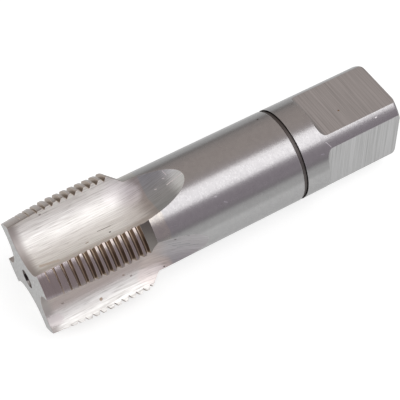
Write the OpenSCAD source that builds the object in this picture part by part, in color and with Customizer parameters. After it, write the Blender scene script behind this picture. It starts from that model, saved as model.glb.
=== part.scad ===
// Hand tap for cutting an internal thread: four straight flutes, a tapered lead,
// a plain shank with one ring and a driving square. It lies as it comes to rest,
// on the crests of two lands and on the end of its round shank.
// The nose points along -X and the driving square along +X. Millimetres.

/* [Shank] */
// Overall length
length = 102; // [90:1:120]
// Diameter of the shank
shank_d = 25; // [24:0.1:26]
// Distance from the square's end to the middle of the ring groove
ring_from_end = 30; // [26:0.1:34]
// Width of the ring groove
ring_w = 1.2; // [0.6:0.1:2]
// Depth of the ring groove
ring_depth = 0.4; // [0.2:0.05:0.8]
// Radius round the edge of the shank's end
end_round = 0.9; // [0.4:0.1:1.4]

/* [Driving square] */
// Width across the flats
square_w = 20; // [18.5:0.1:21]
// Length of the square, from the end to the step up to the shank
square_len = 22.9; // [16:0.1:24]
// Radius left by the cutter at the foot of that step
square_fillet = 2; // [0.5:0.1:2.2]
// Turn from a cutting edge to the middle of the flat beside it
square_turn = 34.4; // [0:0.1:90]

/* [Thread] */
// Pitch of the thread
pitch = 2; // [1.75:0.05:2.5]
// Diameter over the crests
crest_d = 31.2; // [30.8:0.1:32.4]
// Depth of the thread grooves below the crests
thread_depth = 1; // [0.5:0.05:1.1]
// Included angle of a thread groove
thread_angle = 60; // [50:1:60]
// Flat width at the bottom of a thread groove
root_flat = 0.15; // [0.1:0.05:0.4]
// Length of the threaded part, from the nose to the back shoulder
thread_len = 26.7; // [22:0.1:28]
// Distance from the nose to the middle of the first groove on the first land
first_groove = 2.2; // [1:0.1:3]
// Slope of the back shoulder to the axis
shoulder_angle = 42.5; // [30:0.5:60]

/* [Lead] */
// Length of the tapered lead
lead_len = 11.2; // [6:0.1:14]
// Diameter at the nose
nose_d = 29.1; // [28.5:0.1:30.5]
// Distance that each land's lead is ground off centre, so its heel lies lower
lead_relief = 0.75; // [0.1:0.05:1]

/* [Flutes] */
// Diameter of the core left between the flutes
core_d = 14.5; // [13:0.1:16]
// Radius of the grinding wheel's round edge
flute_round = 8.3; // [8:0.1:9.2]
// Diameter of the grinding wheel
wheel_d = 79; // [50:1:100]
// Length of the flutes at their full depth
flute_len = 23.6; // [20:0.1:26]

/* [Centre holes] */
// Diameter of each centre hole at its mouth
centre_mouth_d = 5; // [4:0.1:6.5]
// Diameter of the pilot hole
centre_drill_d = 2.5; // [1.6:0.1:3.15]
// Depth of the pilot hole
centre_drill_depth = 5.5; // [4.5:0.1:8]
// Included angle of the centre hole
centre_angle = 60; // [60:30:90]
// Included angle of the pilot drill's point
drill_point = 120; // [90:1:140]

/* [Hidden] */
$fn = 96;
lands = 4;
spacing = 360 / lands;
// Cutters reach this far past what they cut
past = 1;
crest_r = crest_d / 2;
root_r = crest_r - thread_depth;
shank_r = shank_d / 2;
half_square = square_w / 2;
wheel_r = wheel_d / 2;
// The round of the wheel's edge stands this far from the tap's axis
flute_place = core_d / 2 + flute_round;
// Half of the open angle between two lands, at the crests
half_gap = acos((crest_r ^ 2 + flute_place ^ 2 - flute_round ^ 2) / (2 * crest_r * flute_place));
// Angle from a land's cutting edge to its heel
heel_angle = spacing - 2 * half_gap;
lead_slope = (crest_d - nose_d) / 2 / lead_len;
shoulder_end = thread_len + (crest_r - shank_r) / tan(shoulder_angle);
ring_start = length - ring_from_end - ring_w / 2;
square_start = length - square_len;
// The thread leans by this angle where it crosses a land
helix_angle = atan(pitch / (PI * (crest_r + root_r)));
groove_half = root_flat / 2 + (thread_depth + past) * tan(thread_angle / 2);
// A groove with its middle outside these two places would cut nothing
first_bite = max(0, (root_r - nose_d / 2) / lead_slope) - groove_half;
last_bite = thread_len + thread_depth / tan(shoulder_angle) + groove_half;
turns = ceil(last_bite / pitch);
// At rest the axis tips from the end of the round shank up to the nose
lands_height = crest_r * cos(half_gap);
rest_tilt = atan((lands_height - shank_r) / (square_start - thread_len));
rest_height = shank_r * cos(rest_tilt) + (square_start - length / 2) * sin(rest_tilt);

// The turned blank, from the nose to the rounded end
module blank() {
    rotate_extrude() {
        polygon([
            [0, 0],
            [crest_r, 0],
            [crest_r, thread_len],
            [shank_r, shoulder_end],
            [shank_r, ring_start],
            [shank_r - ring_depth, ring_start],
            [shank_r - ring_depth, ring_start + ring_w],
            [shank_r, ring_start + ring_w],
            [shank_r, length - end_round],
            [shank_r - end_round, length],
            [0, length]
        ]);
        translate([shank_r - end_round, length - end_round])
            circle(r = end_round);
    }
}

// One flute: straight at full depth, then the arc of the wheel as it leaves
module flute() {
    rotate([0, 0, -half_gap]) {
        translate([flute_place, 0, -past])
            cylinder(r = flute_round, h = flute_len + past);
        translate([flute_place - flute_round + wheel_r, 0, flute_len])
            rotate([90, 0, 0])
                rotate([0, 0, 90])
                    rotate_extrude(angle = 90)
                        translate([wheel_r - flute_round, 0])
                            circle(r = flute_round);
    }
}

// What the taper of one land's lead takes away, ground off centre
module lead_cut() {
    over = crest_r + lead_relief;
    translate([0, -lead_relief, 0])
        rotate([0, 0, -half_gap])
            rotate_extrude(angle = spacing)
                polygon([
                    [nose_d / 2 - lead_slope * past, -past],
                    [over, lead_len + lead_relief / lead_slope],
                    [over + past, lead_len + lead_relief / lead_slope],
                    [over + past, -past]
                ]);
}

// One groove of the thread across one land, leaning with the helix
module thread_groove() {
    rotate([0, 0, heel_angle / 2])
        rotate([helix_angle, 0, 0])
            rotate([0, 0, -spacing / 2])
                rotate_extrude(angle = spacing)
                    polygon([
                        [root_r, -root_flat / 2],
                        [root_r, root_flat / 2],
                        [crest_r + past, groove_half],
                        [crest_r + past, -groove_half]
                    ]);
}

// Places of the grooves along a land that stands turned from the first one
function groove_places(turn) = [
    for (i = [-turns : turns])
        let (z = first_groove + pitch * (i + turn / 360))
            if (z > first_bite && z < last_bite) z
];

// All that is ground off the crest of one land
module land_cuts(turn) {
    lead_cut();
    for (z = groove_places(turn))
        translate([0, 0, z])
            thread_groove();
}

// One flat of the square, with the cutter's radius at its foot
module flat_cut() {
    height = shank_r - half_square + past;
    reach = square_len + past;
    translate([0, 0, square_start])
        rotate([90, 0, 0])
            translate([half_square, 0, -shank_r - past])
                linear_extrude(2 * (shank_r + past)) {
                    translate([0, square_fillet])
                        square([height, reach - square_fillet]);
                    translate([square_fillet, 0])
                        square([height - square_fillet, reach]);
                    translate([square_fillet, square_fillet])
                        circle(r = square_fillet);
                }
}

// A drilled centre in the end face at z = 0, pointing along +Z
module centre_hole() {
    slope = tan(centre_angle / 2);
    mouth_r = centre_mouth_d / 2;
    drill_r = centre_drill_d / 2;
    cone_end = (mouth_r - drill_r) / slope;
    tip = centre_drill_depth + drill_r / tan(drill_point / 2);
    rotate_extrude()
        polygon([
            [0, -past],
            [mouth_r + slope * past, -past],
            [drill_r, cone_end],
            [drill_r, centre_drill_depth],
            [0, tip]
        ]);
}

// The tap on end, with its nose at the origin and its first cutting edge
// towards +X
module upright_tap() {
    difference() {
        blank();
        for (k = [0 : lands - 1])
            rotate([0, 0, spacing * k]) {
                flute();
                land_cuts(spacing * k);
            }
        for (k = [0 : 3])
            rotate([0, 0, 90 * k - square_turn])
                flat_cut();
        centre_hole();
        translate([0, 0, length])
            mirror([0, 0, 1])
                centre_hole();
    }
}

// The whole tap at rest on two lands and the end of its round shank, with the
// middle of the gap between those lands facing down
module tap() {
    down = heel_angle + half_gap + spacing;
    color([0.66, 0.64, 0.63])
        translate([0, 0, rest_height])
            rotate([0, 90 + rest_tilt, 0])
                translate([0, 0, -length / 2])
                    rotate([0, 0, -down])
                        upright_tap();
}

tap();
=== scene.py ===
import math

import bpy
from mathutils import Matrix, Vector


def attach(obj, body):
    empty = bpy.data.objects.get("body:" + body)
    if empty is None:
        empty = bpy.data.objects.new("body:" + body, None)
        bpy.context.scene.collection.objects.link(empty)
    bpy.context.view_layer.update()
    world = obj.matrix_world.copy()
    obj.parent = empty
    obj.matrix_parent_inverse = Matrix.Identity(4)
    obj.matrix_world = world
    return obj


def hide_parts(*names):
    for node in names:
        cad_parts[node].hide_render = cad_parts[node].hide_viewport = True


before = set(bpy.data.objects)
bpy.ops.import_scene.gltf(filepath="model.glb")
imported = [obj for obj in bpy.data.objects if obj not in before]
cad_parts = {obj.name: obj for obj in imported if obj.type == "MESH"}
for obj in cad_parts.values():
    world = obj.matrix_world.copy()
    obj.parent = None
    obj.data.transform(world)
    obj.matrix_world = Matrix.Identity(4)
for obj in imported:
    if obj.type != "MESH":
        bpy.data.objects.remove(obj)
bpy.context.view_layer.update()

# The tap stands on its nose while it is made, its axis along +Z and its first
# cutting edge towards +X. Sizes are in millimetres until it is laid down.
MM = 0.001
MICRON = 0.000001

# Shank and ring
length = 102.0
shank_d = 25.0
ring_from_end = 30.0
ring_w = 1.2
ring_depth = 0.4
end_round = 0.9

# Driving square
square_w = 20.0
square_len = 22.9
square_fillet = 2.0
square_turn = 34.4
square_sides = 4

# Thread
pitch = 2.0
crest_d = 31.2
thread_depth = 1.0
thread_angle = 60.0
root_flat = 0.15
thread_len = 26.7
first_groove = 2.2
shoulder_angle = 42.5

# Lead
lead_len = 11.2
nose_d = 29.1
lead_relief = 0.75

# Flutes and the wheel that grinds them
flutes = 4
core_d = 14.5
flute_round = 8.3
wheel_d = 79.0
flute_len = 23.6

# Centre holes
centre_mouth_d = 5.0
centre_drill_d = 2.5
centre_drill_depth = 5.5
centre_angle = 60.0
drill_point = 120.0

# Worked out from them
crest_r = crest_d / 2
shank_r = shank_d / 2
root_r = crest_r - thread_depth
wheel_r = wheel_d / 2
spacing = 360 / flutes
flute_place = core_d / 2 + flute_round
half_gap = math.degrees(math.acos(
    (crest_r ** 2 + flute_place ** 2 - flute_round ** 2)
    / (2 * crest_r * flute_place)))
heel_angle = spacing - 2 * half_gap
lead_slope = (crest_d - nose_d) / 2 / lead_len
shoulder_end = thread_len + (crest_r - shank_r) / math.tan(math.radians(shoulder_angle))
ring_start = length - ring_from_end - ring_w / 2
square_start = length - square_len
lands_height = crest_r * math.cos(math.radians(half_gap))
rest_tilt = math.atan((lands_height - shank_r) / (square_start - thread_len))
rest_height = (shank_r * math.cos(rest_tilt)
               + (square_start - length / 2) * math.sin(rest_tilt))
down = heel_angle + half_gap + spacing

# How far each cutter reaches past what it cuts
cutter_past = 1.0
thread_past = 0.3
flute_past = 2.0
# Half the length of the square's cutter, as a share of half the square
square_reach = 0.85
# Turns of the thread groove before its first place, and past the shoulder
turns_before = 3
turns_past = 0.5

# How finely it is made: sides once round, steps round an edge, rows along the blank
blank_sides = 360
thread_sides = 144
flute_sides = 256
hole_sides = 96
end_round_steps = 9
wheel_arc_steps = 60
square_foot_steps = 16
long_part_rows = 26
# Points of a turned shape that lie nearer than this are one
weld_distance = 0.0005
# Faces that meet at a larger angle than this, in radians, keep a sharp edge
sharp_angle = 0.35

# What shaped each face of the tap; each kind of surface has its own material
TURNED, FACED, CREST, THREAD, FLUTE, SQUARE, CENTRE, RING, SHOULDER = range(9)


# Node helpers

def feed(tree, socket, value):
    """Links the socket to another node's output, or sets a plain value or colour."""
    if isinstance(value, bpy.types.NodeSocket):
        tree.links.new(value, socket)
    elif isinstance(value, tuple):
        socket.default_value = (*value, 1)
    else:
        socket.default_value = value


def place_node(tree, kind, inputs=None, **settings):
    """Adds a node with those settings, and feeds its inputs by name or number."""
    node = tree.nodes.new(kind)
    for name, value in settings.items():
        setattr(node, name, value)
    for name, value in (inputs or {}).items():
        feed(tree, node.inputs[name], value)
    return node


def made(tree, kind, inputs=None, **settings):
    """What a new node gives out first."""
    return place_node(tree, kind, inputs, **settings).outputs[0]


def maths(tree, operation, *values):
    """A sum, a product and the like of plain numbers."""
    return made(tree, "ShaderNodeMath", dict(enumerate(values)), operation=operation)


def opposite(tree, value):
    """The value with its sign turned."""
    return maths(tree, "MULTIPLY", value, -1)


def vectors(tree, operation, *values):
    """Vector maths; a length and a dot product come out as a plain number."""
    node = place_node(tree, "ShaderNodeVectorMath", dict(enumerate(values)),
                      operation=operation)
    return node.outputs["Value" if operation in ("LENGTH", "DOT_PRODUCT") else "Vector"]


def scaled(tree, vector, factor):
    """The vector made that many times as long."""
    return made(tree, "ShaderNodeVectorMath", {0: vector, "Scale": factor},
                operation="SCALE")


def vector_of(tree, x=0.0, y=0.0, z=0.0):
    """Puts three numbers together."""
    return made(tree, "ShaderNodeCombineXYZ", {"X": x, "Y": y, "Z": z})


def parts_of(tree, vector):
    """Takes a vector, or a colour, apart into its three numbers."""
    return place_node(tree, "ShaderNodeSeparateXYZ", {"Vector": vector}).outputs


def floats(*names):
    """Plain numbers in a group's list of inputs or outputs."""
    return [(name, "Float") for name in names]


def new_tree(name, kind, inputs, outputs):
    """An empty node group with those named inputs and outputs."""
    tree = bpy.data.node_groups.new(name, kind)
    for socket, socket_type, *default in inputs:
        added_socket = tree.interface.new_socket(
            name=socket, in_out="INPUT", socket_type="NodeSocket" + socket_type)
        if default:
            added_socket.default_value = default[0]
    for socket, socket_type in outputs:
        tree.interface.new_socket(
            name=socket, in_out="OUTPUT", socket_type="NodeSocket" + socket_type)
    given = tree.nodes.new("NodeGroupInput").outputs
    result = tree.nodes.new("NodeGroupOutput").inputs
    return tree, given, result


def use_group(tree, group, **inputs):
    """Places the group; in an input's name here, an underscore stands for a space."""
    node = tree.nodes.new(tree.bl_idname.replace("Tree", "Group"))
    node.node_tree = group
    for name, value in inputs.items():
        feed(tree, node.inputs[name.replace("_", " ")], value)
    return node


# The tap's shape

def at_point(tree, number):
    """1 at the point with that number, 0 at the others."""
    return maths(tree, "COMPARE", made(tree, "GeometryNodeInputIndex"), number, 0.5)


def moved(tree, mesh, **ways):
    """The mesh after a Translation, a Rotation or a Scale."""
    return made(tree, "GeometryNodeTransform", {"Geometry": mesh, **ways})


def outline(tree, points, closed=True):
    """A polyline in the XY plane through points whose sizes may be sockets."""
    line = made(tree, "GeometryNodeMeshLine", {"Count": len(points)})
    choose = place_node(tree, "GeometryNodeIndexSwitch", data_type="VECTOR")
    while len(choose.index_switch_items) < len(points):
        choose.index_switch_items.new()
    feed(tree, choose.inputs["Index"], made(tree, "GeometryNodeInputIndex"))
    for number, (x, y) in enumerate(points):
        feed(tree, choose.inputs[number + 1], vector_of(tree, x, y))
    through = made(tree, "GeometryNodeSetPosition", {
        "Geometry": line, "Position": choose.outputs[0]})
    curve = made(tree, "GeometryNodeMeshToCurve", {"Mesh": through})
    if not closed:
        return curve
    return made(tree, "GeometryNodeSetSplineCyclic", {"Geometry": curve, "Cyclic": True})


def lathe_tree():
    """Turns an open outline (radius, station) once round the Z axis."""
    tree, given, result = new_tree(
        "Turned round the axis", "GeometryNodeTree",
        [("Outline", "Geometry"), ("Segments", "Int")], [("Mesh", "Geometry")])
    rows = made(tree, "GeometryNodeAttributeDomainSize",
                {"Geometry": given["Outline"]}, component="CURVE")
    columns = maths(tree, "ADD", given["Segments"], 1)
    grid = made(tree, "GeometryNodeMeshGrid", {"Vertices X": rows, "Vertices Y": columns})
    index = made(tree, "GeometryNodeInputIndex")
    row = maths(tree, "FLOOR", maths(tree, "DIVIDE", index, columns))
    column = maths(tree, "SUBTRACT", index, maths(tree, "MULTIPLY", row, columns))
    sample = made(tree, "GeometryNodeSampleIndex", {
        "Geometry": given["Outline"], "Value": made(tree, "GeometryNodeInputPosition"),
        "Index": row}, data_type="FLOAT_VECTOR")
    radius, station, _ = parts_of(tree, sample)
    step = maths(tree, "DIVIDE", math.tau, given["Segments"])
    angle = maths(tree, "MULTIPLY", column, step)
    x = maths(tree, "MULTIPLY", radius, maths(tree, "COSINE", angle))
    y = maths(tree, "MULTIPLY", radius, maths(tree, "SINE", angle))
    turned = made(tree, "GeometryNodeSetPosition", {
        "Geometry": grid, "Position": vector_of(tree, x, y, station)})
    closed = made(tree, "GeometryNodeMergeByDistance",
                  {"Geometry": turned, "Distance": weld_distance})
    outwards = made(tree, "GeometryNodeFlipFaces", {"Mesh": closed})
    tree.links.new(outwards, result["Mesh"])
    return tree


def ring_of_copies(tree, mesh, count):
    """The mesh and its copies, evenly round the Z axis."""
    points = made(tree, "GeometryNodeMeshLine", {
        "Count": count, "Offset": Vector((0, 0, 0))})
    index = made(tree, "GeometryNodeInputIndex")
    turn = maths(tree, "DIVIDE", maths(tree, "MULTIPLY", index, math.tau), count)
    copies = made(tree, "GeometryNodeInstanceOnPoints", {
        "Points": points, "Instance": mesh, "Rotation": vector_of(tree, z=turn)})
    return made(tree, "GeometryNodeRealizeInstances", {"Geometry": copies})


def swept(tree, path, section, upright=False):
    """A solid bar of that section along the path."""
    if upright:
        path = made(tree, "GeometryNodeSetCurveNormal", {"Curve": path}, mode="Z_UP")
    return made(tree, "GeometryNodeCurveToMesh", {
        "Curve": path, "Profile Curve": section, "Fill Caps": True})


def lead_ground(tree, mesh, given):
    """The lead: a cone for each land, moved off centre so that the heel lies lower."""
    x, y, z = parts_of(tree, made(tree, "GeometryNodeInputPosition"))
    turn = maths(tree, "ARCTAN2", y, x)
    step = maths(tree, "DIVIDE", math.tau, given["Flutes"])
    from_gap = maths(tree, "ADD", turn, given["Half gap"])
    from_edge = maths(tree, "SUBTRACT",
                      maths(tree, "FLOORED_MODULO", from_gap, step), given["Half gap"])
    drop = maths(tree, "MULTIPLY", given["Lead relief"], maths(tree, "SINE", from_edge))
    rise = maths(tree, "MULTIPLY", given["Lead slope"], z)
    cone = maths(tree, "SUBTRACT", maths(tree, "ADD", given["Nose radius"], rise), drop)
    radius = maths(tree, "SQRT", maths(
        tree, "ADD", maths(tree, "MULTIPLY", x, x), maths(tree, "MULTIPLY", y, y)))
    share = maths(tree, "MINIMUM", 1.0, maths(tree, "DIVIDE", cone, radius))
    ground = vector_of(tree, maths(tree, "MULTIPLY", x, share),
                       maths(tree, "MULTIPLY", y, share), z)
    return made(tree, "GeometryNodeSetPosition", {"Geometry": mesh, "Position": ground})


def blank_tree():
    """The turned blank, with its lead already ground off centre on each land."""
    tree, given, result = new_tree(
        "Turned blank", "GeometryNodeTree",
        floats("Length", "Shank radius", "Crest radius", "Thread length", "Shoulder end",
               "Ring start", "Ring width", "Ring depth", "End round", "Nose radius",
               "Lead slope", "Lead relief", "Half gap")
        + [("Flutes", "Int"), ("Segments", "Int")], [("Mesh", "Geometry")])
    neck = maths(tree, "SUBTRACT", given["Shank radius"], given["Ring depth"])
    ring_end = maths(tree, "ADD", given["Ring start"], given["Ring width"])
    profile = outline(tree, [
        (0.0, 0.0),
        (given["Crest radius"], 0.0),
        (given["Crest radius"], given["Thread length"]),
        (given["Shank radius"], given["Shoulder end"]),
        (given["Shank radius"], given["Ring start"]),
        (neck, given["Ring start"]),
        (neck, ring_end),
        (given["Shank radius"], ring_end),
        (given["Shank radius"], given["Length"]),
        (0.0, given["Length"])], closed=False)
    # Which of those points begin a long part, and which is the end's edge
    head, shank, square, end_edge = 1, 3, 7, 8
    rounded = made(tree, "GeometryNodeFilletCurve", {
        "Curve": profile, "Count": end_round_steps,
        "Radius": maths(tree, "MULTIPLY", at_point(tree, end_edge), given["End round"])},
        mode="POLY")
    long_part = maths(tree, "ADD", at_point(tree, head), maths(
        tree, "ADD", at_point(tree, shank), at_point(tree, square)))
    rows = made(tree, "GeometryNodeSubdivideCurve", {
        "Curve": rounded, "Cuts": maths(tree, "MULTIPLY", long_part, long_part_rows)})
    blank = use_group(tree, LATHE, Outline=rows, Segments=given["Segments"]).outputs[0]
    tree.links.new(lead_ground(tree, blank, given), result["Mesh"])
    return tree


def thread_tree():
    """What the thread grinder takes away: one groove that winds along the helix."""
    tree, given, result = new_tree(
        "Thread groove", "GeometryNodeTree",
        floats("Pitch", "Root radius", "Thread depth", "Root flat", "Flank slope",
               "First groove", "Half land")
        + [("Turns", "Int"), ("Segments", "Int")], [("Mesh", "Geometry")])
    over = maths(tree, "ADD", given["Thread depth"], thread_past)
    narrow = maths(tree, "DIVIDE", given["Root flat"], 2)
    wide = maths(tree, "MULTIPLY_ADD", over, given["Flank slope"], narrow)
    section = outline(tree, [(0.0, opposite(tree, narrow)), (over, opposite(tree, wide)),
                             (over, wide), (0.0, narrow)])
    spiral = made(tree, "GeometryNodeCurveSpiral", {
        "Resolution": given["Segments"], "Rotations": given["Turns"],
        "Start Radius": given["Root radius"], "End Radius": given["Root radius"],
        "Height": maths(tree, "MULTIPLY", given["Pitch"], given["Turns"]),
        "Reverse": True})
    groove = swept(tree, spiral, section, upright=True)
    start = maths(tree, "MULTIPLY_ADD", given["Pitch"], -turns_before,
                  given["First groove"])
    placed = moved(tree, groove, Translation=vector_of(tree, z=start),
                   Rotation=vector_of(tree, z=given["Half land"]))
    tree.links.new(placed, result["Mesh"])
    return tree


def flute_tree():
    """What the wheel takes away for the flutes, with its arc where it leaves."""
    tree, given, result = new_tree(
        "Flutes", "GeometryNodeTree",
        floats("Flute place", "Flute round", "Wheel radius", "Flute length", "Half gap")
        + [("Flutes", "Int"), ("Segments", "Int")], [("Mesh", "Geometry")])
    arc = maths(tree, "SUBTRACT", given["Wheel radius"], given["Flute round"])
    height = maths(tree, "ADD", given["Flute length"], arc)
    reach = maths(tree, "ADD", given["Flute place"], arc)
    flat_path = outline(tree, [
        (given["Flute place"], -flute_past), (given["Flute place"], height),
        (reach, height)], closed=False)
    rounded = made(tree, "GeometryNodeFilletCurve", {
        "Curve": flat_path, "Count": wheel_arc_steps, "Radius": arc}, mode="POLY")
    path = moved(tree, rounded, Rotation=Vector((math.pi / 2, 0, 0)))
    section = made(tree, "GeometryNodeCurvePrimitiveCircle", {
        "Resolution": given["Segments"], "Radius": given["Flute round"]})
    back = opposite(tree, given["Half gap"])
    one = moved(tree, swept(tree, path, section), Rotation=vector_of(tree, z=back))
    tree.links.new(ring_of_copies(tree, one, given["Flutes"]), result["Mesh"])
    return tree


def square_tree():
    """What the cutter takes away for the four flats of the driving square."""
    tree, given, result = new_tree(
        "Driving square", "GeometryNodeTree",
        floats("Half square", "Shank radius", "Square start", "Length", "Square round",
               "Square turn"), [("Mesh", "Geometry")])
    outside = maths(tree, "ADD", given["Shank radius"], cutter_past)
    beyond = maths(tree, "ADD", given["Length"], cutter_past)
    half_width = maths(tree, "MULTIPLY", given["Half square"], square_reach)
    plan = outline(tree, [(given["Half square"], given["Square start"]),
                          (outside, given["Square start"]), (outside, beyond),
                          (given["Half square"], beyond)])
    foot = 0
    section = made(tree, "GeometryNodeFilletCurve", {
        "Curve": plan, "Count": square_foot_steps,
        "Radius": maths(tree, "MULTIPLY", at_point(tree, foot), given["Square round"])},
        mode="POLY")
    path = made(tree, "GeometryNodeCurvePrimitiveLine", {
        "Start": vector_of(tree, y=opposite(tree, half_width)),
        "End": vector_of(tree, y=half_width)})
    one = moved(tree, swept(tree, path, section, upright=True),
                Rotation=vector_of(tree, x=math.pi, z=given["Square turn"]))
    tree.links.new(ring_of_copies(tree, one, square_sides), result["Mesh"])
    return tree


def centre_tree():
    """A drilled centre in the face at z = 0."""
    tree, given, result = new_tree(
        "Centre hole", "GeometryNodeTree",
        floats("Mouth radius", "Pilot radius", "Pilot depth", "Centre slope",
               "Point slope")
        + [("Segments", "Int")], [("Mesh", "Geometry")])
    over = maths(tree, "MULTIPLY_ADD", given["Centre slope"], cutter_past,
                 given["Mouth radius"])
    narrowing = maths(tree, "SUBTRACT", given["Mouth radius"], given["Pilot radius"])
    deep = maths(tree, "DIVIDE", narrowing, given["Centre slope"])
    point = maths(tree, "DIVIDE", given["Pilot radius"], given["Point slope"])
    tip = maths(tree, "ADD", given["Pilot depth"], point)
    profile = outline(tree, [
        (0.0, -cutter_past), (over, -cutter_past), (given["Pilot radius"], deep),
        (given["Pilot radius"], given["Pilot depth"]), (0.0, tip)], closed=False)
    hole = use_group(tree, LATHE, Outline=profile, Segments=given["Segments"]).outputs[0]
    tree.links.new(hole, result["Mesh"])
    return tree


def shaped_by(tree, mesh, surface, selection=True):
    """Marks the mesh's faces with what shaped them."""
    return made(tree, "GeometryNodeStoreNamedAttribute", {
        "Geometry": mesh, "Selection": selection, "Name": "shaped_by",
        "Value": surface}, data_type="INT", domain="FACE")


def blank_surfaces(tree, blank, given):
    """Marks what is turned, faced, ground to the crests, shoulder or ring."""
    end_facing = 0.99
    shoulder_facing, slack = 0.54, 0.2
    station = parts_of(tree, made(tree, "GeometryNodeInputPosition"))[2]
    normal = made(tree, "GeometryNodeInputNormal")
    facing = maths(tree, "ABSOLUTE", parts_of(tree, normal)[2])
    on_end = maths(tree, "GREATER_THAN", facing, end_facing)
    on_head = maths(tree, "LESS_THAN", station, given["Thread length"])
    on_shoulder = maths(tree, "MULTIPLY",
                        maths(tree, "COMPARE", facing, shoulder_facing, slack),
                        maths(tree, "LESS_THAN", station, given["Shoulder end"]))
    ring_middle = maths(tree, "MULTIPLY_ADD", given["Ring width"], 0.5,
                        given["Ring start"])
    in_ring = maths(tree, "COMPARE", station, ring_middle,
                    maths(tree, "MULTIPLY", given["Ring width"], 0.5))
    blank = shaped_by(tree, blank, TURNED)
    blank = shaped_by(tree, blank, CREST, on_head)
    blank = shaped_by(tree, blank, SHOULDER, on_shoulder)
    blank = shaped_by(tree, blank, FACED, on_end)
    return shaped_by(tree, blank, RING, in_ring)


def kept_for_materials(tree, mesh):
    """Keeps each point's place while the tap stands on its nose, and sharp edges."""
    placed = made(tree, "GeometryNodeStoreNamedAttribute", {
        "Geometry": mesh, "Name": "on_tap",
        "Value": made(tree, "GeometryNodeInputPosition")},
        data_type="FLOAT_VECTOR", domain="POINT")
    angle = made(tree, "GeometryNodeInputMeshEdgeAngle")
    return made(tree, "GeometryNodeSetShadeSmooth", {
        "Geometry": placed, "Selection": maths(tree, "GREATER_THAN", angle, sharp_angle),
        "Shade Smooth": False}, domain="EDGE")


def laid_down(tree, mesh, given):
    """The tap as it comes to rest on two lands and the end of its round shank."""
    middle = maths(tree, "MULTIPLY", given["Length"], -0.5)
    turned = moved(tree, mesh, Rotation=vector_of(tree, z=given["Down"]),
                   Translation=vector_of(tree, z=middle))
    tilt = maths(tree, "ADD", math.pi / 2, given["Rest tilt"])
    at_rest = moved(tree, turned, Rotation=vector_of(tree, y=tilt),
                    Translation=vector_of(tree, z=given["Rest height"]))
    return moved(tree, at_rest, Scale=vector_of(
        tree, given["Scale"], given["Scale"], given["Scale"]))


# What the tap's tree is given: sizes in millimetres, angles in radians
TAP_SIZES = {
    "Length": length, "Shank radius": shank_r, "Crest radius": crest_r,
    "Thread length": thread_len, "Shoulder end": shoulder_end,
    "Ring start": ring_start, "Ring width": ring_w, "Ring depth": ring_depth,
    "End round": end_round, "Nose radius": nose_d / 2, "Lead slope": lead_slope,
    "Lead relief": lead_relief, "Half gap": math.radians(half_gap), "Pitch": pitch,
    "Thread depth": thread_depth, "Root flat": root_flat,
    "Flank slope": math.tan(math.radians(thread_angle / 2)),
    "First groove": first_groove, "Half land": math.radians(heel_angle / 2),
    "Flute place": flute_place, "Flute round": flute_round,
    "Wheel radius": wheel_r, "Flute length": flute_len,
    "Half square": square_w / 2, "Square start": square_start,
    "Square round": square_fillet, "Square turn": math.radians(-square_turn),
    "Mouth radius": centre_mouth_d / 2, "Pilot radius": centre_drill_d / 2,
    "Pilot depth": centre_drill_depth,
    "Centre slope": math.tan(math.radians(centre_angle / 2)),
    "Point slope": math.tan(math.radians(drill_point / 2)),
    "Down": math.radians(-down), "Rest tilt": rest_tilt,
    "Rest height": rest_height, "Scale": MM}


def with_materials(tree, mesh, surfaces):
    """Gives each face the material of the surface that it is marked with."""
    shaped = made(tree, "GeometryNodeInputNamedAttribute", {"Name": "shaped_by"},
                  data_type="INT")
    for surface, material in surfaces.items():
        mesh = made(tree, "GeometryNodeSetMaterial", {
            "Geometry": mesh, "Material": material,
            "Selection": maths(tree, "COMPARE", shaped, surface, 0.5)})
    return mesh


def tap_tree(surfaces):
    """The whole tap: blank, cuts, rest pose, and a material for each surface."""
    tree, given, result = new_tree(
        "Thread tap", "GeometryNodeTree",
        [(name, "Float", size) for name, size in TAP_SIZES.items()]
        + [("Flutes", "Int", flutes), ("Segments", "Int", blank_sides)],
        [("Tap", "Geometry")])

    def part(group, **own):
        """What the group makes of the tap's sizes that it names, and of its own."""
        shared = {item.name: given[item.name] for item in group.interface.items_tree
                  if item.in_out == "INPUT" and item.name in given}
        return use_group(tree, group, **{**shared, **own}).outputs[0]

    blank = blank_surfaces(tree, part(BLANK), given)
    bottom = maths(tree, "SUBTRACT", given["Crest radius"], given["Thread depth"])
    turns = maths(tree, "ADD", turns_before + turns_past, maths(
        tree, "DIVIDE", given["Shoulder end"], given["Pitch"]))
    thread = part(GROOVE, Root_radius=bottom, Turns=maths(tree, "CEIL", turns),
                  Segments=thread_sides)
    flute = part(FLUTES, Segments=flute_sides)
    flats = part(DRIVE)
    hole = part(HOLE, Segments=hole_sides)
    far_hole = moved(tree, hole, Translation=vector_of(tree, z=given["Length"]),
                     Rotation=Vector((math.pi, 0, 0)))

    cut = place_node(tree, "GeometryNodeMeshBoolean", {"Mesh 1": blank},
                     operation="DIFFERENCE", solver="MANIFOLD")
    for mesh, surface in ((far_hole, CENTRE), (hole, CENTRE), (flats, SQUARE),
                          (flute, FLUTE), (thread, THREAD)):
        tree.links.new(shaped_by(tree, mesh, surface), cut.inputs["Mesh 2"])

    laid = laid_down(tree, kept_for_materials(tree, cut.outputs["Mesh"]), given)
    real = made(tree, "GeometryNodeRealizeInstances", {"Geometry": laid})
    tree.links.new(with_materials(tree, real, surfaces), result["Tap"])
    return tree


def in_scene(name, data):
    """A new object in the scene, with its origin at zero."""
    item = bpy.data.objects.new(name, data)
    bpy.context.scene.collection.objects.link(item)
    return item


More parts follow.
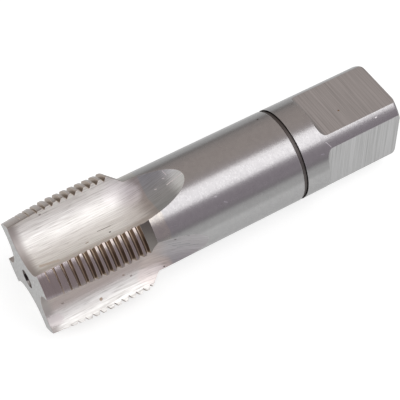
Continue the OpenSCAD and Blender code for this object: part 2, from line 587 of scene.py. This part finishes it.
def baked(tree, name):
    """A plain mesh object of what the tree makes."""
    holder = in_scene(name, bpy.data.meshes.new(name + "_start"))
    modifier = holder.modifiers.new("shape", "NODES")
    modifier.node_group = tree
    graph = bpy.context.evaluated_depsgraph_get()
    mesh = bpy.data.meshes.new_from_object(holder.evaluated_get(graph))
    mesh.name = name
    holder.modifiers.remove(modifier)
    holder.data = mesh
    return holder


LATHE = lathe_tree()
BLANK = blank_tree()
GROOVE = thread_tree()
FLUTES = flute_tree()
DRIVE = square_tree()
HOLE = centre_tree()


# Materials

def remapped(tree, value, low, high, to_low=0.0, to_high=1.0):
    """A smooth step from one level to the other."""
    return made(tree, "ShaderNodeMapRange", {
        "Value": value, "From Min": low, "From Max": high,
        "To Min": to_low, "To Max": to_high}, interpolation_type="SMOOTHSTEP")


def mixed(tree, factor, first, second, blend_type="MIX"):
    """Mixes two colours by the factor."""
    # A Mix node has sockets for each kind of value; these are the ones for colours
    factor_socket, first_socket, second_socket, mixed_socket = 0, 6, 7, 2
    node = place_node(tree, "ShaderNodeMix", data_type="RGBA", blend_type=blend_type)
    feed(tree, node.inputs[factor_socket], factor)
    feed(tree, node.inputs[first_socket], first)
    feed(tree, node.inputs[second_socket], second)
    return node.outputs[mixed_socket]


def noise(tree, place, scale=1.0, roughness=0.5):
    """A soft random pattern over the place, about 0.5 in the middle."""
    return made(tree, "ShaderNodeTexNoise", {
        "Vector": place, "Scale": scale, "Detail": 2.0, "Roughness": roughness})


def from_axis(tree, x, y):
    """How far a place lies from the tap's axis."""
    return vectors(tree, "LENGTH", vector_of(tree, x, y))


def grinding_tree():
    """Lines left by a wheel or a tool, fine across them and long along them."""
    tree, given, result = new_tree(
        "Grinding lines", "ShaderNodeTree",
        [("Place", "Vector"), ("Fineness", "Vector"), ("Broad", "Float")],
        floats("Lines", "Bands", "Deep", "Height"))
    fine_place = vectors(tree, "MULTIPLY", given["Place"], given["Fineness"])
    fine = noise(tree, fine_place, roughness=0.65)
    broad = noise(tree, scaled(tree, fine_place, given["Broad"]))
    lines = remapped(tree, fine, low=0.3, high=0.7)
    bands = remapped(tree, broad, low=0.32, high=0.68)
    deep = remapped(tree, fine, low=0.58, high=0.70)
    bands_height = 0.3
    tree.links.new(lines, result["Lines"])
    tree.links.new(bands, result["Bands"])
    tree.links.new(deep, result["Deep"])
    tree.links.new(maths(tree, "MULTIPLY_ADD", bands, bands_height, lines),
                   result["Height"])
    return tree


def speck_tree():
    """Small pits and grains of dirt, a few in every so many cells."""
    tree, given, result = new_tree(
        "Specks", "ShaderNodeTree",
        [("Place", "Vector")] + floats("Spacing", "Share", "Size"), floats("Mask"))
    smallest, size_range = 0.4, 0.8
    solid_part = 0.6
    scale = maths(tree, "DIVIDE", 1.0, given["Spacing"])
    cells = place_node(tree, "ShaderNodeTexVoronoi", {
        "Vector": given["Place"], "Scale": scale}).outputs
    chance, luck, _ = parts_of(tree, cells["Color"])
    chosen = maths(tree, "LESS_THAN", chance, given["Share"])
    size = maths(tree, "MULTIPLY", given["Size"], maths(
        tree, "MULTIPLY_ADD", luck, size_range, smallest))
    spread = maths(tree, "MULTIPLY", size, scale)
    near = remapped(tree, cells["Distance"],
                    maths(tree, "MULTIPLY", spread, solid_part), spread, 1.0, 0.0)
    tree.links.new(maths(tree, "MULTIPLY", near, chosen), result["Mask"])
    return tree


def mark_tree():
    """A spot, or a scratch or a band of painted light and shade from one place to
    another, with a ragged edge.
    """
    tree, given, result = new_tree(
        "Mark", "ShaderNodeTree",
        [("Place", "Vector"), ("From", "Vector"), ("To", "Vector"), ("Width", "Float"),
         ("Ragged", "Float")], floats("Mask"))
    # As shares of its width: the mark is full up to the first and gone past the second
    full, gone = 0.45, 1.0
    ragged_scale = 3.5
    shortest = 0.000001
    line = vectors(tree, "SUBTRACT", given["To"], given["From"])
    local = vectors(tree, "SUBTRACT", given["Place"], given["From"])
    long = maths(tree, "MAXIMUM", vectors(tree, "DOT_PRODUCT", line, line), shortest)
    share = maths(tree, "DIVIDE", vectors(tree, "DOT_PRODUCT", local, line), long)
    share = maths(tree, "MINIMUM", maths(tree, "MAXIMUM", share, 0.0), 1.0)
    nearest = scaled(tree, line, share)
    reach = vectors(tree, "LENGTH", vectors(tree, "SUBTRACT", local, nearest))
    uneven = maths(tree, "SUBTRACT", noise(tree, given["Place"], ragged_scale), 0.5)
    wobble = maths(tree, "MULTIPLY", uneven, maths(tree, "MULTIPLY", given["Ragged"], 2))
    edge = maths(tree, "ADD", wobble, maths(tree, "DIVIDE", reach, given["Width"]))
    tree.links.new(remapped(tree, edge, full, gone, 1.0, 0.0), result["Mask"])
    return tree


def along_flute_tree():
    """A place told by how far across its flute it lies, which flute, and its station."""
    tree, given, result = new_tree(
        "Along a flute", "ShaderNodeTree",
        [("Place", "Vector")] + floats("Half gap", "Spacing"), [("Place", "Vector")])
    # Keeps the lines of one flute apart from those of the next
    between_flutes = 7.0
    x, y, z = parts_of(tree, given["Place"])
    turn = maths(tree, "ADD", maths(tree, "ARCTAN2", y, x), given["Half gap"])
    shifted = maths(tree, "MULTIPLY_ADD", given["Spacing"], 0.5, turn)
    local = maths(tree, "MULTIPLY_ADD", given["Spacing"], -0.5,
                  maths(tree, "FLOORED_MODULO", shifted, given["Spacing"]))
    flute = maths(tree, "FLOOR", maths(tree, "DIVIDE", shifted, given["Spacing"]))
    across = maths(tree, "MULTIPLY", from_axis(tree, x, y), maths(tree, "SINE", local))
    apart = maths(tree, "MULTIPLY", flute, between_flutes)
    tree.links.new(vector_of(tree, across, apart, z), result["Place"])
    return tree


def root_highlight_tree():
    """1 at the bottom of the full thread grooves, 0 a little above it: where a painted
    highlight goes.
    """
    tree, given, result = new_tree(
        "Groove bottom", "ShaderNodeTree",
        [("Place", "Vector")] + floats("Root radius", "Lead length"), floats("Mask"))
    above_bottom, at_bottom = 0.12, 0.02
    full_from = 0.4
    x, y, z = parts_of(tree, given["Place"])
    above = maths(tree, "SUBTRACT", from_axis(tree, x, y), given["Root radius"])
    low = remapped(tree, above, above_bottom, at_bottom)
    full = remapped(tree, z, maths(tree, "MULTIPLY", given["Lead length"], full_from),
                    given["Lead length"])
    tree.links.new(maths(tree, "MULTIPLY", low, full), result["Mask"])
    return tree


def edge_tree():
    """Where two faces meet: a mask of the worn edge, which also carries a painted edge
    highlight, and its softened normal.
    """
    tree, given, result = new_tree(
        "Worn edges", "ShaderNodeTree", floats("Width"),
        [("Mask", "Float"), ("Normal", "Vector")])
    # How alike the softened and the sharp normal are off the edge, and on it
    off_edge, on_edge = 0.999, 0.93
    soft = made(tree, "ShaderNodeBevel", {"Radius": given["Width"]}, samples=6)
    sharp = place_node(tree, "ShaderNodeNewGeometry").outputs["Normal"]
    alike = vectors(tree, "DOT_PRODUCT", soft, sharp)
    tree.links.new(remapped(tree, alike, off_edge, on_edge), result["Mask"])
    tree.links.new(soft, result["Normal"])
    return tree


def head_tree():
    """1 from the nose up to a station, with an uneven end; where the head is warmer, and
    where painted light and shade go on the flutes.
    """
    tree, given, result = new_tree(
        "Hardened head", "ShaderNodeTree",
        [("Place", "Vector"), ("End", "Float", 33.8), ("Fade", "Float", 0.25)],
        floats("Mask"))
    uneven_scale, uneven_by = 0.35, 0.8
    station = parts_of(tree, given["Place"])[2]
    middle = maths(tree, "SUBTRACT", station, uneven_by / 2)
    uneven = maths(tree, "MULTIPLY_ADD", noise(tree, given["Place"], uneven_scale),
                   uneven_by, middle)
    low = maths(tree, "SUBTRACT", given["End"], given["Fade"])
    high = maths(tree, "ADD", given["End"], given["Fade"])
    tree.links.new(remapped(tree, uneven, low, high, 1.0, 0.0), result["Mask"])
    return tree


def lead_highlight_tree():
    """A painted highlight: the light strip behind each cutting edge of the lead."""
    tree, given, result = new_tree(
        "Margin of the lead", "ShaderNodeTree",
        [("Place", "Vector")] + floats("Spacing", "Lead length"), floats("Mask"))
    # The strip in radians, and the shares of the lead between which it fades out
    strip_from, strip_to = 0.01, 0.11
    fades_from, fades_to = 0.85, 1.15
    x, y, z = parts_of(tree, given["Place"])
    half = maths(tree, "MULTIPLY", given["Spacing"], 0.5)
    turn = maths(tree, "ADD", maths(tree, "ARCTAN2", y, x), half)
    from_edge = maths(tree, "SUBTRACT",
                      maths(tree, "FLOORED_MODULO", turn, given["Spacing"]), half)
    strip = remapped(tree, from_edge, strip_from, strip_to, 1.0, 0.0)
    lead = remapped(tree, z, maths(tree, "MULTIPLY", given["Lead length"], fades_from),
                    maths(tree, "MULTIPLY", given["Lead length"], fades_to), 1.0, 0.0)
    tree.links.new(maths(tree, "MULTIPLY", strip, lead), result["Mask"])
    return tree


LINES = grinding_tree()
LEAD_HIGHLIGHT = lead_highlight_tree()
HEAD = head_tree()
SPECKS = speck_tree()
MARK = mark_tree()
ALONG = along_flute_tree()
ROOT_HIGHLIGHT = root_highlight_tree()
EDGES = edge_tree()

# The colour that metal takes on where it is seen at a grazing angle
GRAZING = (0.74, 0.74, 0.74)

# How ragged the edge of a mark is: of a long band of painted light and shade, of a broad
# patch of painted light and shade, and of a spot or a scratch
PAINTED_BAND_EDGE = 0.1
PAINTED_PATCH_EDGE = 0.2
SPOT_EDGE = 0.5

# The middle of the fourth land, as a turn, and the width of the band on it: painted shade
# on its crests, painted light in its grooves
FOURTH_LAND = 284.0
FOURTH_LAND_BAND = 5.5

# Colours of single marks, from dark to light
DIRT = (0.09, 0.07, 0.06)
SCORE = (0.2, 0.17, 0.15)
RUST = (0.26, 0.17, 0.09)
BROWN = (0.30, 0.26, 0.23)
DULL = (0.30, 0.31, 0.32)
SMUDGE = (0.34, 0.31, 0.29)
PALE_RUST = (0.36, 0.28, 0.21)
GREY_SPOT = (0.36, 0.32, 0.30)
TAN_SPOT = (0.38, 0.31, 0.26)
STAIN = (0.42, 0.36, 0.29)
PALE_STAIN = (0.62, 0.56, 0.49)
NICK = (0.8, 0.8, 0.79)
BARE = (0.95, 0.94, 0.92)
BRIGHT = (1.0, 1.0, 1.0)


def in_flute(flute, station, turn):
    """A place on a flute's surface; the turn is 0 at its bottom, in degrees."""
    across = flute_round * math.sin(math.radians(turn))
    depth = flute_round * math.cos(math.radians(turn))
    radius = flute_place - depth
    if station > flute_len:
        arm = wheel_r - flute_round + depth
        swing = math.asin((station - flute_len) / arm)
        radius = flute_place + wheel_r - flute_round - arm * math.cos(swing)
    middle = math.radians(spacing * flute - half_gap)
    return Vector((radius * math.cos(middle) - across * math.sin(middle),
                   radius * math.sin(middle) + across * math.cos(middle), station))


def flute_marks(marks):
    """Marks told by flute, station and turn at both ends, as places on the tap."""
    return [(in_flute(flute, start, start_turn), in_flute(flute, end, end_turn),
             width, colour)
            for flute, start, start_turn, end, end_turn, width, colour in marks]


def on_round(station, turn, radius=shank_r):
    """A place on the round shank or a land; the turn is from the first cutting edge."""
    angle = math.radians(turn)
    return Vector((radius * math.cos(angle), radius * math.sin(angle), station))


def round_marks(marks):
    """Marks on the shank told by station and turn at both ends, as places on the tap."""
    return [(on_round(start, start_turn), on_round(end, end_turn), width, colour)
            for start, start_turn, end, end_turn, width, colour in marks]


def painted_land_band(turn, width, colour):
    """A band of painted light and shade along a whole land: one mark in a list, as those
    of flute_marks are.
    """
    before_nose, past_head, film_radius = -2.0, 30.0, 15.0
    return [(on_round(before_nose, turn, film_radius),
             on_round(past_head, turn, film_radius), width, colour)]


class Steel:
    """A steel being put together: colour, roughness and bumps, layer on layer."""

    def __init__(self, name, colour, roughness, grain=0.0, way=None):
        self.material = bpy.data.materials.new(name)
        self.material.use_nodes = True
        self.tree = self.material.node_tree
        self.shader = self.tree.nodes["Principled BSDF"]
        self.shader.inputs["Metallic"].default_value = 1
        self.shader.inputs["Anisotropic"].default_value = grain
        feed(self.tree, self.shader.inputs["Specular Tint"], GRAZING)
        self.place = place_node(self.tree, "ShaderNodeAttribute",
                                attribute_name="on_tap").outputs["Vector"]
        self.colour = colour
        self.roughness = roughness
        self.height = None
        self.normal = None
        if way:
            self.lay_grain(way)

    def lay_grain(self, way):
        """The grain that stretches the highlight goes along the tap, or round it."""
        axis = Vector((math.cos(rest_tilt), 0, -math.sin(rest_tilt)))
        normal = place_node(self.tree, "ShaderNodeNewGeometry").outputs["Normal"]
        tangent = vectors(self.tree, "CROSS_PRODUCT", axis, normal)
        if way == "along":
            tangent = vectors(self.tree, "CROSS_PRODUCT", tangent, normal)
        self.tree.links.new(tangent, self.shader.inputs["Tangent"])

    def tinted(self, mask, amount, colour, blend_type="MIX"):
        """Lays a colour on by the mask."""
        factor = maths(self.tree, "MULTIPLY", mask, amount)
        self.colour = mixed(self.tree, factor, self.colour, colour, blend_type)

    def lines(self, fineness, tint, amount, rough, broad=0.2, place=None, deep=0.0,
              blend_type="MIX"):
        """Grinding lines that darken or tint the colour and change the gloss."""
        node = use_group(self.tree, LINES, Place=place or self.place,
                         Fineness=Vector(fineness), Broad=broad).outputs
        mark = maths(self.tree, "MULTIPLY_ADD", node["Bands"], 0.5,
                     maths(self.tree, "MULTIPLY", node["Lines"], 0.5))
        self.tinted(mark, amount, tint, blend_type)
        if deep:
            darker = tuple(value * 0.5 for value in tint)
            self.tinted(node["Deep"], deep, darker, blend_type)
        self.roughness = maths(self.tree, "MULTIPLY_ADD", node["Lines"], rough,
                               self.roughness)
        self.height = node["Height"]

    def masked(self, group, colour, amount=1.0, **inputs):
        """Lays a colour on where the group's mask says."""
        mask = use_group(self.tree, group, Place=self.place, **inputs).outputs[0]
        self.tinted(mask, amount, colour)

    def marked(self, marks, ragged=SPOT_EDGE, amount=1.0):
        """Single spots and scratches, and bands and patches of painted light and shade,
        each at its own place.
        """
        for start, end, width, colour in marks:
            self.masked(MARK, colour, amount, From=start, To=end, Width=width,
                        Ragged=ragged)

    def wear_and_highlight_edges(self, width, colour, amount):
        """Lighter, softened edges where two faces meet: partly wear, partly a painted
        edge highlight; the width is in millimetres.
        """
        node = use_group(self.tree, EDGES, Width=width * MM).outputs
        self.tinted(node["Mask"], amount, colour)
        self.normal = node["Normal"]

    def finished(self, microns):
        """The material, with bumps as deep as that."""
        sockets = self.shader.inputs
        feed(self.tree, sockets["Base Color"], self.colour)
        feed(self.tree, sockets["Roughness"], self.roughness)
        bump = place_node(self.tree, "ShaderNodeBump", {
            "Height": self.height, "Strength": 1.0, "Distance": microns * MICRON})
        if self.normal is not None:
            self.tree.links.new(self.normal, bump.inputs["Normal"])
        self.tree.links.new(bump.outputs[0], sockets["Normal"])
        return self.material


def turned_steel():
    """The shank: fine turning lines, two bands of painted dark reflection along it, a few
    small dings.
    """
    steel = Steel("turned_steel", (0.39, 0.388, 0.386), roughness=0.27, grain=0.5,
                  way="along")
    steel.masked(HEAD, (0.455, 0.43, 0.39))
    steel.lines(fineness=(2.2, 2.2, 3.2), tint=(0.31, 0.305, 0.31), amount=0.5,
                rough=0.06, broad=0.3)
    # Painted shade: two dark bands along the shank stand in for dark reflections at those
    # turns
    painted_band_start, painted_band_width, painted_band_colour = 24.0, 2.8, (0.19, 0.187, 0.187)
    steel.marked(round_marks([(painted_band_start, turn, length, turn, painted_band_width, painted_band_colour)
                              for turn in (-64.0, 33.5)]), PAINTED_BAND_EDGE, amount=0.42)
    steel.masked(SPECKS, (0.12, 0.11, 0.11), amount=0.7, Spacing=5.0, Share=0.14,
                 Size=0.14)
    ding = Vector((12.35, 1.91, 95.07))
    ding_long = Vector((0, 0, 0.3))
    steel.marked(round_marks([(68.34, -58.0, 68.34, -58.0, 0.34, DIRT)]))
    steel.marked([(ding, ding + ding_long, 0.22, BARE)])
    # Station and turn at one end and at the other, width, colour
    steel.marked(round_marks([
        (49.3, 19.0, 49.9, 21.0, 0.2, (0.55, 0.55, 0.56)),
        (47.5, 9.0, 47.9, 9.5, 0.2, (0.60, 0.60, 0.60)),
        (79.9, 9.5, 80.8, 17.0, 0.13, (0.75, 0.75, 0.75)),
        (77.5, 20.0, 78.4, 21.0, 0.13, (0.52, 0.52, 0.54)),
    ]))
    steel.wear_and_highlight_edges(width=0.15, colour=(0.62, 0.61, 0.60), amount=0.7)
    return steel.finished(microns=1.6)


def faced_steel():
    """The two end faces, dull from facing."""
    steel = Steel("faced_steel", (0.61, 0.61, 0.605), roughness=0.42)
    steel.lines(fineness=(1.1, 1.1, 1.0), tint=(0.34, 0.335, 0.33), amount=0.8,
                rough=0.08, broad=1.6)
    steel.wear_and_highlight_edges(width=0.2, colour=(0.66, 0.66, 0.65), amount=0.6)
    return steel.finished(microns=2)


def crest_steel():
    """The lands' crests and the lead, with a painted highlight as a light strip at each
    cutting edge of the lead.
    """
    steel = Steel("crest_steel", (0.40, 0.36, 0.335), roughness=0.2, grain=0.4,
                  way="along")
    # Painted highlight: a light strip behind each cutting edge of the lead
    steel.masked(LEAD_HIGHLIGHT, (0.82, 0.79, 0.77), Spacing=math.radians(spacing),
                 Lead_length=lead_len)
    # Painted highlight: lighter crests at the rounded heel corner of the first land, at
    # the nose
    heel_corner_highlight = (on_round(0.0, 28.0, radius=14.2), on_round(7.0, 30.0, radius=14.5),
                  1.5, (0.54, 0.50, 0.49))
    # Painted shade: the fourth land's crests darker, as seen at a grazing angle
    fourth_land_shade = painted_land_band(FOURTH_LAND, FOURTH_LAND_BAND, (0.335, 0.30, 0.28))
    steel.marked([heel_corner_highlight] + fourth_land_shade, PAINTED_PATCH_EDGE)
    steel.lines(fineness=(0.3, 0.3, 5.0), tint=(0.30, 0.265, 0.245), amount=0.6,
                rough=0.06)
    steel.wear_and_highlight_edges(width=0.1, colour=(0.58, 0.49, 0.40), amount=0.8)
    return steel.finished(microns=1)


def thread_steel():
    """The thread grooves: brown flanks, with a painted tan highlight at the bottom of the
    full grooves.
    """
    steel = Steel("thread_steel", (0.32, 0.26, 0.21), roughness=0.28)
    steel.lines(fineness=(0.4, 0.4, 12.0), tint=(0.17, 0.125, 0.09), amount=0.8,
                rough=0.08)
    # Painted highlight: a tan line at the bottom of the full grooves
    steel.masked(ROOT_HIGHLIGHT, (0.60, 0.49, 0.38), amount=0.65, Root_radius=root_r,
                 Lead_length=lead_len)
    # Painted highlight: a light tan band along the grooves just behind the first cutting
    # edge
    steel.marked(painted_land_band(4.0, 2.8, (0.72, 0.62, 0.51)), PAINTED_PATCH_EDGE, amount=0.2)
    # Painted light: the fourth land's grooves lighter
    steel.marked(painted_land_band(FOURTH_LAND, FOURTH_LAND_BAND, (0.43, 0.37, 0.33)), PAINTED_PATCH_EDGE,
                 amount=0.5)
    steel.wear_and_highlight_edges(width=0.08, colour=(0.60, 0.49, 0.38), amount=0.7)
    return steel.finished(microns=1)


def flute_painted_light_and_shade(steel):
    """Painted light and shade on the flutes: a painted highlight on the run-out, and
    bands of painted light and shade along each flute.
    """
    # Flute, station and turn at one end and at the other, width, colour
    steel.marked(flute_marks([
        (0, 44.2, -20.0, 44.2, 10.0, 6.6, (0.92, 1.0, 0.99)),
        (0, 3.0, 50.0, 29.0, 50.0, 4.2, (0.68, 0.65, 0.60)),
        (1, -2.0, 5.0, 29.0, 5.0, 5.6, (0.58, 0.52, 0.49)),
        (1, 37.0, 0.0, 42.0, 0.0, 9.0, (0.54, 0.53, 0.54)),
        (1, 28.5, 36.0, 31.0, 44.0, 3.6, (0.78, 0.71, 0.655)),
        (1, 26.5, 51.0, 29.5, 52.0, 3.0, (1.0, 0.95, 0.91)),
        (0, 26.5, -40.0, 30.4, -25.0, 3.6, (1.0, 1.0, 0.98)),
    ]), PAINTED_BAND_EDGE)


def flute_spots(steel):
    """Spots, stains and scratches of the two flutes that face the viewer, and one painted
    highlight.
    """
    # Flute, station and turn at one end and at the other, width, colour
    steel.marked(flute_marks([
        # Painted highlight: the first entry is a light patch in flute 1 beside the heel
        # corner at the nose
        (1, 0.9, 48.0, 2.4, 49.0, 1.9, (0.72, 0.69, 0.67)),
        (0, 19.0, 7.0, 22.5, 8.5, 0.1, SCORE),
        (0, 21.3, 21.0, 21.4, 21.0, 0.3, DIRT),
        (0, 15.0, 20.0, 15.6, 20.0, 0.22, STAIN),
        (0, 3.0, 22.0, 7.0, 30.0, 0.7, PALE_STAIN),
        (0, 0.5, -67.0, 9.5, -72.5, 0.2, RUST),
        (0, 8.2, -63.0, 8.5, -63.0, 0.25, SMUDGE),
        (0, 36.1, -9.0, 36.5, -8.0, 0.17, NICK),
        (0, 38.9, -16.5, 39.2, -15.0, 0.17, NICK),
        (0, 39.7, -27.0, 40.0, -18.0, 0.12, BARE),
        (0, 39.0, -3.0, 43.5, -2.0, 0.14, BRIGHT),
        (1, 14.0, 52.0, 14.1, 52.0, 0.5, PALE_RUST),
        (1, 14.0, 52.5, 14.1, 52.5, 0.22, STAIN),
        (1, 21.3, 31.0, 21.5, 31.5, 0.3, TAN_SPOT),
        (1, 23.0, 39.0, 23.3, 39.0, 0.26, GREY_SPOT),
        (1, 4.7, 27.0, 5.1, 27.5, 0.24, BROWN),
        (1, 31.6, 45.0, 31.7, 45.0, 0.2, DIRT),
        (1, 35.6, -11.0, 35.7, -11.0, 0.35, DIRT),
        (1, 38.4, -23.5, 38.5, -23.5, 0.33, DIRT),
        (1, 35.0, 8.0, 39.0, 9.0, 0.14, DULL),
        (1, 36.0, 14.0, 41.0, 12.0, 0.12, DULL),
        (1, 34.0, 2.0, 37.0, 3.0, 0.12, DULL),
    ]))


def flute_steel():
    """The flutes: bright, painted much lighter up to their run-out, with the wheel's long
    lines and a darker rim of painted shade at the nose.
    """
    steel = Steel("flute_steel", (0.505, 0.54, 0.54), roughness=0.34, grain=0.95,
                  way="round")
    steel.masked(HEAD, (0.57, 0.55, 0.52))
    # Painted light: the flutes much lighter from the nose up to station 31 than along
    # their run-out
    steel.masked(HEAD, (0.935, 0.945, 0.91), End=31.0, Fade=2.4)
    flute_painted_light_and_shade(steel)
    along = use_group(steel.tree, ALONG, Place=steel.place,
                      Half_gap=math.radians(half_gap),
                      Spacing=math.radians(spacing)).outputs[0]
    steel.lines(fineness=(8.0, 1.0, 0.24), tint=(0.50, 0.475, 0.45), amount=0.6,
                rough=0.08, broad=0.45, place=along, deep=0.3, blend_type="MULTIPLY")
    # Painted shade: the bottom of flute 1 darkened once more, over its lines
    steel.marked(flute_marks([(1, -2.0, 5.0, 29.0, 5.0, 5.6, (0.51, 0.455, 0.43))]),
                 PAINTED_BAND_EDGE, amount=0.45)
    # Painted shade: a darker rim along the nose
    steel.masked(HEAD, (0.42, 0.395, 0.375), End=1.9, Fade=1.1)
    steel.masked(SPECKS, (0.16, 0.11, 0.08), amount=0.75, Spacing=1.7, Share=0.16,
                 Size=0.1)
    flute_spots(steel)
    steel.wear_and_highlight_edges(width=0.15, colour=(0.50, 0.43, 0.36), amount=0.6)
    return steel.finished(microns=3)


def square_steel():
    """The driving square's flats: fine lines across them and one rust spot."""
    steel = Steel("square_steel", (0.50, 0.497, 0.50), roughness=0.36, grain=0.5,
                  way="along")
    steel.lines(fineness=(0.06, 0.06, 7.0), tint=(0.33, 0.33, 0.325), amount=0.8,
                rough=0.08, broad=0.8, deep=0.25)
    steel.masked(SPECKS, (0.2, 0.18, 0.16), amount=0.8, Spacing=5.0, Share=0.12,
                 Size=0.12)
    rust = Vector((9.54, -3.77, 88.02))
    steel.marked([(rust, rust, 0.36, RUST)])
    steel.wear_and_highlight_edges(width=0.15, colour=(0.66, 0.65, 0.64), amount=0.6)
    return steel.finished(microns=2)


def centre_steel():
    """The centre holes: dark, with painted shade on one side and a painted highlight on
    the other in the nose's mouth.
    """
    steel = Steel("centre_steel", (0.13, 0.115, 0.11), roughness=0.4)
    steel.lines(fineness=(0.5, 0.5, 6.0), tint=(0.08, 0.07, 0.065), amount=0.7,
                rough=0.1)
    # Painted shade on one side of the nose hole's mouth, and a painted highlight on the
    # other
    steel.marked([
        (Vector((-2.1, -1.0, 0.3)), Vector((-2.33, 0.1, 0.26)), 0.5, (0.025, 0.02, 0.02)),
        (Vector((-2.25, 0.7, 0.25)), Vector((-1.85, 1.5, 0.2)), 0.4, (0.28, 0.27, 0.265)),
    ], PAINTED_PATCH_EDGE)
    return steel.finished(microns=3)


def ring_steel():
    """The ring groove: painted shade makes it nearly black, with a painted reflection a
    little lighter along its floor.
    """
    steel = Steel("ring_steel", (0.06, 0.054, 0.052), roughness=0.45)
    # Painted reflection: a lighter band along the groove's floor, set off centre
    reflection_middle = ring_start + ring_w * 0.56
    reflection_reach = ring_w * 0.3
    station = parts_of(steel.tree, steel.place)[2]
    painted_reflection = maths(steel.tree, "COMPARE", station, reflection_middle, reflection_reach)
    steel.tinted(painted_reflection, 1.0, (0.125, 0.115, 0.11))
    steel.lines(fineness=(0.2, 0.2, 6.0), tint=(0.10, 0.085, 0.08), amount=0.5,
                rough=0.1)
    return steel.finished(microns=2)


def shoulder_steel():
    """The shoulder behind the threads, darker than the shank."""
    steel = Steel("shoulder_steel", (0.235, 0.215, 0.20), roughness=0.34)
    steel.lines(fineness=(0.4, 0.4, 4.0), tint=(0.20, 0.185, 0.17), amount=0.5,
                rough=0.05)
    steel.wear_and_highlight_edges(width=0.15, colour=(0.6, 0.58, 0.56), amount=0.7)
    return steel.finished(microns=1)


surfaces = {
    TURNED: turned_steel(), FACED: faced_steel(), CREST: crest_steel(),
    THREAD: thread_steel(), FLUTE: flute_steel(), SQUARE: square_steel(),
    CENTRE: centre_steel(), RING: ring_steel(), SHOULDER: shoulder_steel(),
}

tap = baked(tap_tree(surfaces), "tap_body")
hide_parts("tap")
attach(tap, "root")


# Studio, in metres

# How bright the room looks behind, near its floor and in front
ROOM_BACK = (0.66, 0.58, 0.55)
ROOM_LOW = (0.50, 0.455, 0.44)
ROOM_FRONT = (0.485, 0.43, 0.48)
# Between which directions one wall fades into the next, as heights and as depths
LOW_TO_BACK = (0.1, 0.6)
FRONT_TO_BACK = (-0.3, 0.3)
# The light that the room throws on the tap and the paper
ROOM_LIGHT = (0.55, 0.55, 0.55)

# The paper, how far it reaches, and the pool of light on it: its glow, where it
# begins to fade and where it ends, and the glow beyond it
PAPER = (0.5, 0.5, 0.5)
PAPER_REACH = 3
POOL_GLOW = 0.68
POOL_EDGE = 0.14
POOL_END = 0.5
FAR_GLOW = 0.2

# The lamps' aim, inside the tap
TAP_MIDDLE = (0, 0, 0.01)
# The side of the square picture
PICTURE_PIXELS = 400


def rays_that_see(tree):
    """1 for what the camera sees, straight or in metal and glass, 0 for the rest."""
    rays = tree.nodes.new("ShaderNodeLightPath").outputs
    return maths(tree, "MAXIMUM", rays["Is Camera Ray"], maths(
        tree, "MAXIMUM", rays["Is Glossy Ray"], rays["Is Transmission Ray"]))


def floor_material():
    """White paper in a pool of light that fades into the room."""
    material = bpy.data.materials.new("floor_paper")
    material.use_nodes = True
    tree = material.node_tree
    sockets = tree.nodes["Principled BSDF"].inputs
    feed(tree, sockets["Base Color"], PAPER)
    sockets["Roughness"].default_value = 0.9
    sockets["Specular IOR Level"].default_value = 0
    feed(tree, sockets["Emission Color"], (1, 1, 1))
    place = place_node(tree, "ShaderNodeTexCoord").outputs["Object"]
    pool = remapped(tree, vectors(tree, "LENGTH", place), POOL_EDGE, POOL_END,
                    POOL_GLOW, FAR_GLOW)
    tree.links.new(maths(tree, "MULTIPLY", rays_that_see(tree), pool),
                   sockets["Emission Strength"])
    return material


def make_floor():
    """A square of paper under the tap."""
    corners = [(x * PAPER_REACH, y * PAPER_REACH, 0)
               for x, y in ((-1, -1), (1, -1), (1, 1), (-1, 1))]
    mesh = bpy.data.meshes.new("floor")
    mesh.from_pydata(corners, [], [(0, 1, 2, 3)])
    mesh.materials.append(floor_material())
    floor = in_scene("floor", mesh)


def make_world():
    """A plain room: grey in front, a little warmer and lighter behind."""
    world = bpy.data.worlds.new("studio")
    bpy.context.scene.world = world
    world.use_nodes = True
    tree = world.node_tree
    background = tree.nodes["Background"]
    way = place_node(tree, "ShaderNodeTexCoord").outputs["Generated"]
    _, y, z = parts_of(tree, way)
    low_back = mixed(tree, remapped(tree, z, *LOW_TO_BACK), ROOM_LOW, ROOM_BACK)
    walls = mixed(tree, remapped(tree, y, *FRONT_TO_BACK), ROOM_FRONT, low_back)
    tree.links.new(mixed(tree, rays_that_see(tree), ROOM_LIGHT, walls),
                   background.inputs["Color"])


def area_light(name, place, size, level):
    """A soft box square to its aim; its level is how bright its face looks."""
    light = bpy.data.lights.new(name, "AREA")
    light.shape = "RECTANGLE"
    light.size, light.size_y = size
    light.energy = level * math.pi * size[0] * size[1]
    outwards = (Vector(place) - Vector(TAP_MIDDLE)).normalized()
    along = Vector((1, 0, 0)) - outwards.x * outwards
    along.normalize()
    turn = Matrix((along, outwards.cross(along), outwards)).transposed()
    in_scene(name, light).matrix_world = Matrix.Translation(place) @ turn.to_4x4()


def make_camera():
    """The pinhole that fits the tap's edges in the photograph."""
    eye = Vector((-0.09043, -0.14855, 0.2675))
    yaw = math.radians(30.544)
    pitch_down = math.radians(56.130)
    roll = math.radians(-0.530)
    focal_pixels = 1225.2
    look = Vector((math.cos(pitch_down) * math.sin(yaw),
                   math.cos(pitch_down) * math.cos(yaw), -math.sin(pitch_down)))
    right = look.cross(Vector((0, 0, 1))).normalized()
    up = right.cross(look)
    right_rolled = math.cos(roll) * right + math.sin(roll) * up
    up_rolled = -math.sin(roll) * right + math.cos(roll) * up
    data = bpy.data.cameras.new("camera")
    data.sensor_width = 36
    data.lens = focal_pixels * data.sensor_width / PICTURE_PIXELS
    data.clip_start = 0.01
    camera = in_scene("camera", data)
    turn = Matrix((right_rolled, up_rolled, -look)).transposed()
    camera.matrix_world = Matrix.Translation(eye) @ turn.to_4x4()
    bpy.context.scene.camera = camera


make_floor()
make_world()
make_camera()
area_light("key", (0.342, -0.338, 0.760), size=(0.67, 0.57), level=2.1)
area_light("side", (-0.72, 0.08, 0.55), size=(0.35, 0.7), level=1.2)
bpy.context.scene.view_settings.view_transform = "Standard"
